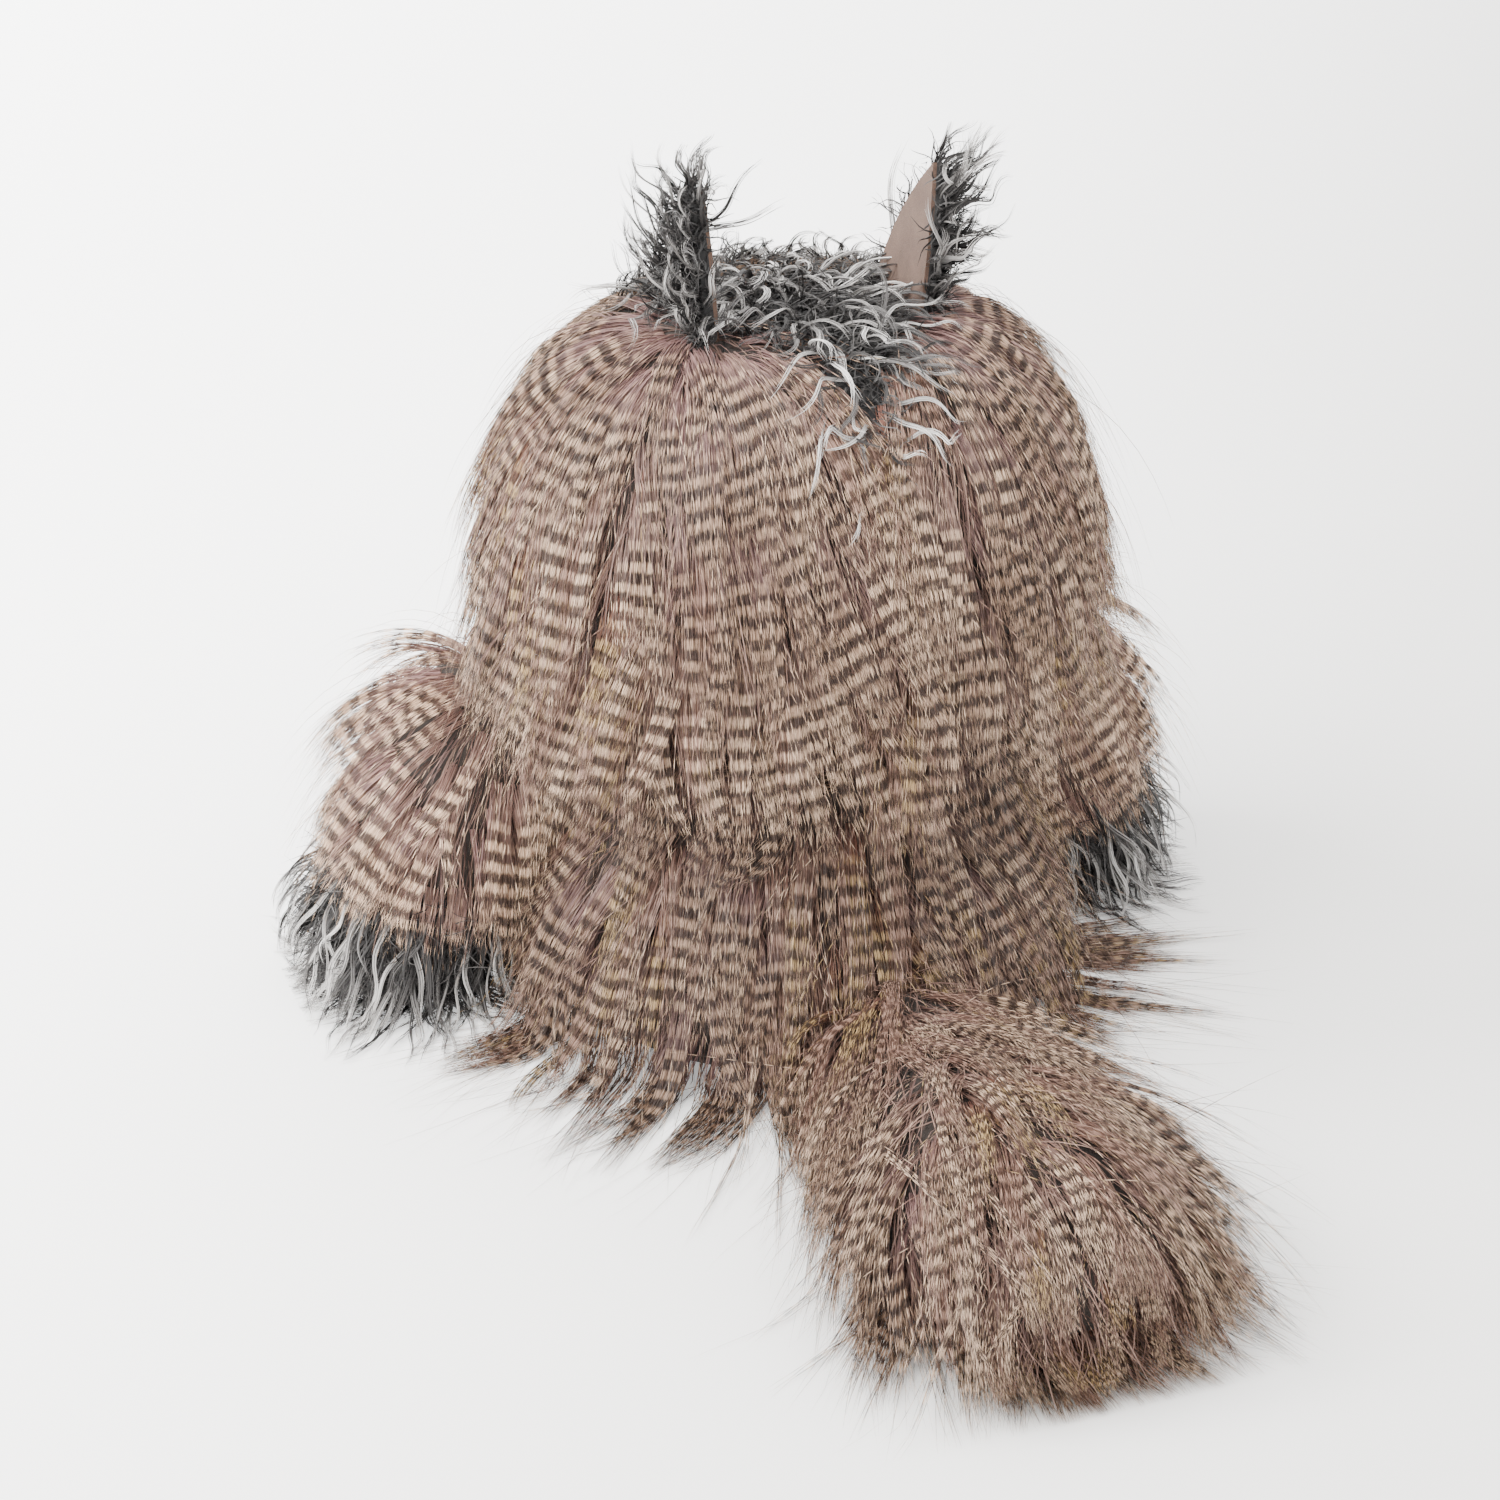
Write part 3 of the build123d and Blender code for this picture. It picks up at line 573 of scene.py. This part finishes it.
def striped_layers(name, spine, flow_at, row_at, length, per_area=9500, lift=0.42, drop=0.6, settle=0.0,
                   allow=None, pull=0.3, under=0.6, pale=0.0, share_at=None, wisps=0,
                   fibre="striped", soft="down"):
    """Long banded locks over shorter soft fibres, with single hairs that stand out of them.
    per_area and wisps are locks to a square metre, pull is how tightly the tufts gather, under is the soft
    fibres' share of the length, and pale gives more locks the cream tint."""
    def roots(density, stray, drift=1.0):
        """Where the hairs stand, the way out there, and the way the pile lies."""
        root, normal = outer_points(name, spine, density, allow=allow)
        flow = flow_at(root) + swirl(root) * drift + rng.normal(0, stray, root.shape)
        return root, normal, along_surface(flow, normal)

    def clumps(root, normal, path, reach, tint, hairs_each, width, *spread):
        """Every path becomes a lock of hairs with their bands in step."""
        hairs, kept = spread_clumps(path, normal, hairs_each, *spread)
        variants = np.repeat(band_variant(row_at(root), patchy_tint(root, tint)), hairs_each)
        share = np.clip(np.repeat(reach, hairs_each) * kept / FULL, 0, 1)
        return Layer(hairs, np.repeat(normal, hairs_each, axis=0), width, variants, share, MATERIALS[fibre])

    root, normal, flow = roots(per_area, 0.10)
    reach = length * rng.uniform(0.72, 1.12, len(root)) * (share_at(root) if share_at else 1.0)
    path = gather_tufts(root, grow(root, normal, flow, reach, 7, lift, drop, settle), pull)
    layers = [clumps(root, normal, path, reach, pale, LOCK_HAIRS, LOCK_WIDTH, LOCK_RADIUS,
                     0.70, 0.0034, 0.45)]

    root, normal, flow = roots(per_area * 3, 0.30)
    reach = length * rng.uniform(0.8, 1.25, len(root)) * (share_at(root) if share_at else 1.0)
    path = grow(root, normal, flow, reach, 7, scaled(lift, 1.5), drop, settle)
    variants = band_variant(row_at(root), patchy_tint(root, pale))
    layers.append(Layer(path, normal, SINGLE_WIDTH, variants, np.clip(reach / FULL, 0, 1), MATERIALS[fibre]))

    if wisps:
        root, normal, flow = roots(wisps, 0.3, drift=0.0)
        reach = length * rng.uniform(1.1, 1.6, len(root))
        path = grow(root, normal, flow, reach, 8, scaled(lift, 0.9), drop, settle)
        layers.append(clumps(root, normal, path, reach, 1.0, WISP_HAIRS, WISP_WIDTH, WISP_RADIUS,
                             0.8, 0.0016, 0.3))

    root, normal, flow = roots(per_area * 7, 0.25)
    reach = length * under * rng.uniform(0.6, 1.2, len(root))
    path = grow(root, normal, flow, reach, 4, scaled(lift, 0.9), drop, settle)
    layers.append(Layer(path, normal, SOFT_WIDTH, rng.integers(0, VARIANTS, len(path)), np.ones(len(path)),
                        MATERIALS[soft]))
    return layers


def waves(path, normal, size, turns):
    """Locks bent into loose curls that grow towards the tip."""
    count, stations, _ = path.shape
    t = np.linspace(0, 1, stations)[None, :, None]
    across = unit(np.cross(path[:, -1] - path[:, 0], normal + rng.normal(0, 0.2, normal.shape)))[:, None]
    over = unit(np.cross(path[:, -1] - path[:, 0], across[:, 0]))[:, None]
    angle = (rng.random((count, 1, 1)) + t * turns[:, None, None]) * 2 * pi
    size = size[:, None, None] * (0.25 + 0.75 * t)
    bent = path + across * np.sin(angle) * size + over * np.cos(angle) * size * 0.7
    bent[..., 2] = np.maximum(bent[..., 2], FLOOR_LIFT)
    return bent


def curly_layers(name, spine, flow_at, length, per_area=17000, lift=0.6, drop=0.7, least=0.3, size=0.0035,
                 light=0.45, allow=None):
    """Long wavy grey locks over a dense dark fuzz. size is the curls' radius, and light how pale they are."""
    root, normal = outer_points(name, spine, per_area, least, allow)
    flow = along_surface(flow_at(root) + rng.normal(0, 0.35, root.shape), normal)
    reach = length * rng.uniform(0.6, 1.15, len(root))
    path = grow(root, normal, flow, reach, 14, lift * rng.uniform(0.6, 1.5, (len(root), 1)), drop)
    path = waves(path, normal, size * rng.uniform(0.5, 1.3, len(root)), rng.uniform(*CURL_TURNS, len(root)))
    hairs, kept = spread_clumps(path, normal, CURL_HAIRS, CURL_RADIUS, 0.72, 0.0008)
    tint = np.clip(rng.beta(0.9, 0.9, len(root)) * 0.9 + (light - 0.45), 0, 0.999) * VARIANTS
    variants = np.repeat(tint.astype(int), CURL_HAIRS) + rng.integers(-3, 4, len(hairs))
    variants = np.clip(variants, 0, VARIANTS - 1)
    locks = Layer(hairs, np.repeat(normal, CURL_HAIRS, axis=0), CURL_WIDTH, variants, kept,
                  MATERIALS["curly"])

    root, normal = outer_points(name, spine, per_area * 8, least, allow)
    flow = along_surface(flow_at(root) + rng.normal(0, 1.2, root.shape), normal)
    path = grow(root, normal, flow, length * 0.42 * rng.uniform(0.5, 1.2, len(root)), 6, 1.0, 0.4)
    path = waves(path, normal, np.full(len(root), 0.002), rng.uniform(0.6, 1.4, len(root)))
    fuzz = Layer(path, normal, FUZZ_WIDTH, rng.integers(0, DARK_VARIANTS, len(path)), np.ones(len(path)),
                 MATERIALS["curly"])
    return [locks, fuzz]


def short_layers(name, spine, flow_at, length, per_area, allow=None):
    """Short even pile."""
    root, normal = outer_points(name, spine, per_area, allow=allow)
    flow = along_surface(flow_at(root) + rng.normal(0, 0.3, root.shape), normal)
    path = grow(root, normal, flow, length * rng.uniform(0.7, 1.2, len(root)), 4, 0.5, 0.3)
    return [Layer(path, normal, SOFT_WIDTH, rng.integers(0, VARIANTS, len(path)), np.ones(len(path)),
                  MATERIALS["short"])]


def pressed_layer(name, material):
    """Thin fur squashed flat under a piece that rests on the floor, just below its cover."""
    length, per_area = 0.016, 60000
    tri = triangles(name)
    cross = np.cross(tri[:, 1] - tri[:, 0], tri[:, 2] - tri[:, 0])
    area = np.linalg.norm(cross, axis=1) / 2
    faces_down = cross[:, 2] < -1.8 * area
    keep = faces_down & (tri[:, :, 2].max(axis=1) < 0.0005)
    tri, area = tri[keep], area[keep]
    count = int(area.sum() * per_area * DENSITY)
    if count == 0:
        return []
    pick = rng.choice(len(area), size=count, p=area / area.sum())
    share = rng.dirichlet((1, 1, 1), count)
    root = np.einsum("ij,ijk->ik", share, tri[pick])
    outward = unit(root - root.mean(axis=0))
    angle = rng.random(count) * 2 * pi
    flow = unit(outward + 0.8 * np.column_stack((np.cos(angle), np.sin(angle), np.zeros(count))))
    reach = length * rng.uniform(0.5, 1.2, count)
    t = np.linspace(0, 1, 4)
    path = root[:, None] + flow[:, None] * reach[:, None, None] * t[None, :, None]
    path[..., 2] = -0.0002 - 0.0004 * rng.random((count, 1))
    facing = np.tile(-UP, (count, 1)) * 8   # long, so that the twist hardly turns these ribbons
    return [Layer(path, facing, PRESSED_WIDTH, rng.integers(0, DARK_VARIANTS, count), np.ones(count),
                  MATERIALS[material])]


def clad(name, body, layers, slot):
    """Make the fur piece that grows on a CAD cover. The cover stays as its backing cloth."""
    under = pressed_layer(name, "curly" if slot == "curly_fur" else "down")
    piece = fur_mesh(name.replace("_", "-") + "-fur", layers + under)
    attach(piece, body)


MATERIALS = {
    "striped": striped_material("striped_fur_fibre", 0.97),
    # painted shade: the striped fur again, darker, for the torso
    "striped_painted_shade": striped_material("striped_fur_fibre_painted_shade", 0.74),
    # painted shade: the striped fur again, somewhat darker, for the tail
    "striped_tail_painted_shade": striped_material("striped_fur_fibre_tail_painted_shade", 0.84),
    # painted light: the striped fur again, lighter, for the arms
    "striped_painted_light": striped_material("striped_fur_fibre_painted_light", 1.32),
    # painted shade: the soft underfur again, darker, for the torso
    "down_painted_shade": down_material("soft_underfur_painted_shade", (0.035, 0.020, 0.017), (0.125, 0.076, 0.058)),
    "down": down_material("soft_underfur", (0.085, 0.048, 0.042), (0.24, 0.148, 0.115)),
    "short": down_material("short_pile", (0.11, 0.068, 0.047), (0.27, 0.18, 0.122)),
    "curly": curly_material(),
    "backing_striped": cloth_material("striped_fur_backing", (0.012, 0.008, 0.006), (0.028, 0.019, 0.015)),
    "backing_grey": cloth_material("curly_fur_backing", (0.010, 0.010, 0.010), (0.024, 0.023, 0.023)),
    "suede": suede_material(),
    "eye": eye_material(),
    "nose": nose_material(),
    "fibre": cloth_material("white_fibrefill", (0.58, 0.57, 0.55), (0.72, 0.71, 0.69), 300, 0.002),
    "plastic": plain_material("joint_plastic", (0.72, 0.71, 0.69), 0.45),
    "base": cloth_material("base_twill", (0.10, 0.08, 0.07), (0.17, 0.14, 0.12), 1400, 0.0003),
}

add_camera()
add_stage()

# ---------------------------------------------------------------- spines and flows, from the frame
torso_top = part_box("torso_belly")[1][2]
TORSO_SPINE = ((0, 0, 0.045), (0, 0, torso_top * 0.72))
HEAD_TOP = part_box("crown_gusset")[1][2]
CROWN_EDGE_Z = HEAD_TOP - 0.022
HEAD_MIDDLE_Z = torso_top + 0.075
HEAD_SPINE = ((0, 0, torso_top + 0.06), (0, 0.005, torso_top + 0.11))
MUZZLE_SPINE = ((0, -0.07, 0.219), (0, -0.1, 0.219))
tail_low, tail_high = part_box("tail_cover")
TAIL_SPINE = ((0, tail_low[1] + 0.034, 0.036), (0, tail_high[1] - 0.04, 0.026))
SHOULDER_X, SHOULDER_Y, SHOULDER_DROP = 0.141, -0.040, 0.034   # the drop is from the sleeve's top
HAND_OUT, HAND_Y, HAND_Z = 0.004, -0.056, 0.03
LEG_Z = 0.033
HEM_TOP, UPPER_BOTTOM = 0.075, 0.065   # the two kinds of fur on the back overlap between these heights
HEM_BLUR = 0.008
BROW_HALF = 0.062
SKIRT_HEIGHT = 0.08      # below this the pile on the body spreads outward
UNDERSIDE = -0.55        # a normal whose Z is below this faces down
WHORLS = np.array(((0.050, 0.030), (-0.030, 0.040)))   # left and right of the crown, in X and Y


def arm_spine(word):
    side = SIDES[word]
    sleeve_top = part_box(f"{word}_arm_sleeve")[1][2]
    paw_low, paw_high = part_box(f"{word}_paw")
    shoulder = (side * SHOULDER_X, SHOULDER_Y, sleeve_top - SHOULDER_DROP)
    hand = ((paw_low[0] + paw_high[0]) / 2 + side * HAND_OUT, HAND_Y, HAND_Z)
    return shoulder, hand


def leg_spine(word):
    low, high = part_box(f"{word}_leg_cover")
    foot_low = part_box(f"{word}_foot")[0]
    x = (low[0] + high[0]) / 2
    return (x, high[1] - 0.031, LEG_Z), (x, foot_low[1] + 0.02, LEG_Z)


def down_flow(points):
    """Down the sides, spreading into a skirt near the floor."""
    skirt = np.clip(1 - points[:, 2:] / SKIRT_HEIGHT, 0, 1)
    return np.broadcast_to(-UP, points.shape) + (0.10 + 0.8 * skirt) * spine_away(points, *TORSO_SPINE)


def from_whorl(points):
    """Level offset of each point from the whorl on its own side of the head."""
    out = np.zeros_like(points)
    out[:, :2] = points[:, :2] - WHORLS[np.where(points[:, 0] > 0, 0, 1)]
    return out


def head_lift(normal):
    """Fur lies closer on the sides of the head than at the back."""
    return 0.16 + 0.26 * np.clip(1.3 - np.abs(normal[:, :1]) * 1.3, 0, 1)


def head_settle(points):
    """Fur lies close on the crown, and hangs clear of the neck lower down."""
    return np.clip((points[:, 2:] - HEAD_MIDDLE_Z) / 0.06, -0.5, 0.5) * 0.5


def head_flow(points):
    """Away from a whorl on each side of the crown, and down."""
    return unit(from_whorl(points)) * 0.9 - UP


def height_row(points):
    return -points[:, 2]


def head_row(points):
    out = from_whorl(points)
    out[:, 2] = points[:, 2] - HEAD_TOP
    return np.linalg.norm(out, axis=1)


def tail_row(points):
    return np.linalg.norm(points - TAIL_SPINE[0], axis=1)


def leg_row(points):
    return -points[:, 1]


def shoulder_whorl(word):
    """Where the arm's pile starts from: above the shoulder and a little inside it."""
    return np.array(arm_spine(word)[0]) + np.array((-SIDES[word] * 0.035, 0.0, 0.045))


def arm_row(word):
    whorl = shoulder_whorl(word)
    return lambda points: np.linalg.norm(points - whorl, axis=1)


def arm_reach(word):
    """Share of full pile length: shorter towards the wrist, so that the paw shows."""
    start, end = (np.array(p) for p in arm_spine(word))
    line = end - start

    def reach(points):
        share = (points - start) @ line / (line @ line)
        return np.clip(1.25 - share * 1.3, 0.42, 1.0)
    return reach


def arm_flow(word):
    """Out from the inner side of the shoulder, over it, and down to the paw."""
    start, end = (np.array(p) for p in arm_spine(word))
    whorl = shoulder_whorl(word)

    def flow(points):
        outward = spine_away(points, start, end)
        return unit(points - whorl) * 1.1 + unit((end - start)[None]) * 0.6 + outward * 0.25
    return flow


def paw_flow(points):
    side = np.sign(points[:, :1]) * np.array((0.35, 0.0, 0.0))
    return np.broadcast_to(-UP, points.shape) + side


def tail_flow(points):
    """Towards the tip, fanning out sideways past the root."""
    fan = np.zeros_like(points)
    share = np.clip((points[:, 1] - TAIL_SPINE[0][1]) / (TAIL_SPINE[1][1] - TAIL_SPINE[0][1]), 0, 1)
    fan[:, 0] = points[:, 0] * (11 - 4 * share)
    fan[:, 1] = 1.0
    fan[:, 2] = -0.2
    return fan


def leg_flow(points):
    return np.broadcast_to(np.array((0.0, -0.9, -0.5)), points.shape)


def crown_flow(points):
    out = np.zeros_like(points)
    out[:, 0] = np.sign(points[:, 0]) * 0.4 + points[:, 0] * 6
    out[:, 1] = 0.7
    return out


def not_underneath(points, normal):
    return normal[:, 2] > UNDERSIDE


def back_lift(normal):
    """Fur stands out behind, and lies closer at the sides, by the arms."""
    return 0.25 + 0.95 * np.clip(1.25 - np.abs(normal[:, :1]) * 1.25, 0, 1)


def brow_flow(points):
    """Back over the crown."""
    return np.broadcast_to(np.array((0.0, 1.0, 0.3)), points.shape)


def low_back(points, normal):
    return (normal[:, 2] > UNDERSIDE) & (points[:, 2] < HEM_TOP + rng.normal(0, HEM_BLUR, len(points)))


def high_back(points, normal):
    return points[:, 2] > UPPER_BOTTOM + rng.normal(0, HEM_BLUR, len(points))


def on_top(points, normal):
    """The brow, between the ears."""
    edge = rng.normal(0, 0.004, len(points))
    return (points[:, 2] > CROWN_EDGE_Z + edge) & (np.abs(points[:, 0]) < BROW_HALF + edge)


def loose_edge(points, normal):
    """No fur on the underside of the head, with an uneven edge."""
    return normal[:, 2] > rng.uniform(-0.95, -0.35, len(points))


def ear_layers(word):
    """Tufts over the back of an ear and round its edges, standing out of the tip."""
    name, side = f"{word}_ear_back", SIDES[word]
    low, high = (np.array(p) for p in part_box(name))
    middle = (low + high) / 2
    inner = middle - np.array((side * 0.03, 0, 0))
    spine = (inner - UP * 0.03, inner + UP * 0.02)

    def flow(points):
        out = (points - middle) * np.array((0, 16, 0))
        return UP[None] * 0.8 + np.array((side * 0.15, 0.3, 0.0)) + out
    return curly_layers(name, spine, flow, 0.042, 52000, 0.9, 0.1, least=-0.2, size=0.0032)


def back_layers(name):
    """Two tiers of fur, darkened by painted shade and by fewer cream locks: a loose hem below, and closer
    pile above it.
    """
    place = (name, TORSO_SPINE, down_flow, height_row)
    hem = striped_layers(*place, 0.104, 8500, back_lift, 0.5, allow=low_back, pull=0.88, under=0.28,
                         pale=-0.7, wisps=900, fibre="striped_painted_shade", soft="down_painted_shade")
    upper = striped_layers(*place, 0.078, 9500, back_lift, 0.5, allow=high_back, pull=0.75, under=0.38,
                           pale=-0.5, fibre="striped_painted_shade", soft="down_painted_shade")
    return hem + upper


def clad_side(word):
    """The fur of everything that there is one of on each side."""
    back, head, ear = f"torso_back_{word}", f"head_back_{word}", f"{word}_ear_back"
    sleeve, paw, leg, foot = (f"{word}_{part}" for part in ("arm_sleeve", "paw", "leg_cover", "foot"))
    arm_line, leg_line = arm_spine(word), leg_spine(word)
    clad(back, "torso", back_layers(back), "striped_fur")
    clad(head, "head",
         striped_layers(head, HEAD_SPINE, head_flow, head_row, 0.080, 10500, head_lift, 1.1, head_settle,
                        allow=loose_edge, pull=0.55), "striped_fur")
    clad(sleeve, f"{word}_arm",
         striped_layers(sleeve, arm_line, arm_flow(word), arm_row(word), 0.070, lift=0.8, drop=0.7, pull=0.6,
                        under=0.45, pale=1.0, share_at=arm_reach(word), fibre="striped_painted_light"), "striped_fur")
    clad(paw, f"{word}_arm", curly_layers(paw, arm_line, paw_flow, 0.066, 24000, 1.1, light=0.6),
         "curly_fur")
    clad(leg, f"{word}_leg", striped_layers(leg, leg_line, leg_flow, leg_row, 0.04), "striped_fur")
    clad(foot, f"{word}_leg", curly_layers(foot, leg_line, leg_flow, 0.034), "curly_fur")
    clad(ear, "head", ear_layers(word), "curly_fur")


def clad_middle():
    """The fur of the belly, face, crown and tail."""
    clad("torso_belly", "torso", short_layers("torso_belly", TORSO_SPINE, down_flow, 0.028, 560000),
         "short_fur")
    brow = curly_layers("face_panel", HEAD_SPINE, brow_flow, 0.036, 26000, 0.7, 0.3, light=0.55,
                        allow=on_top)
    face = short_layers("face_panel", HEAD_SPINE, down_flow, 0.02, 680000, allow=not_underneath)
    clad("face_panel", "head", face + brow, "short_fur")
    clad("muzzle", "head", short_layers("muzzle", MUZZLE_SPINE, down_flow, 0.009, 1200000), "short_fur")
    clad("crown_gusset", "head",
         curly_layers("crown_gusset", HEAD_SPINE, crown_flow, 0.050, 30000, 0.9, 0.5, light=0.62),
         "curly_fur")
    clad("tail_cover", "tail",
         striped_layers("tail_cover", TAIL_SPINE, tail_flow, tail_row, 0.078, 11000, lift=0.5, drop=0.3,
                        pull=0.5, under=0.5, wisps=2600, fibre="striped_tail_painted_shade"), "striped_fur")


for side_word in SIDES:
    clad_side(side_word)
clad_middle()

# ---------------------------------------------------------------- carried-over CAD pieces
LOOKS = {
    "striped_fur": "backing_striped", "curly_fur": "backing_grey", "short_fur": "backing_striped",
    "suede": "suede", "base_cloth": "base", "fibrefill": "fibre", "pellet_cloth": "base", "webbing": "base",
    "joint_plastic": "plastic", "eye_plastic": "eye", "nose_plastic": "nose",
}
for entry in frame["record"]["subparts"]:
    data = nodes[entry["node"]].data
    data.materials.clear()
    data.materials.append(MATERIALS[LOOKS[entry["material_slot"]]])
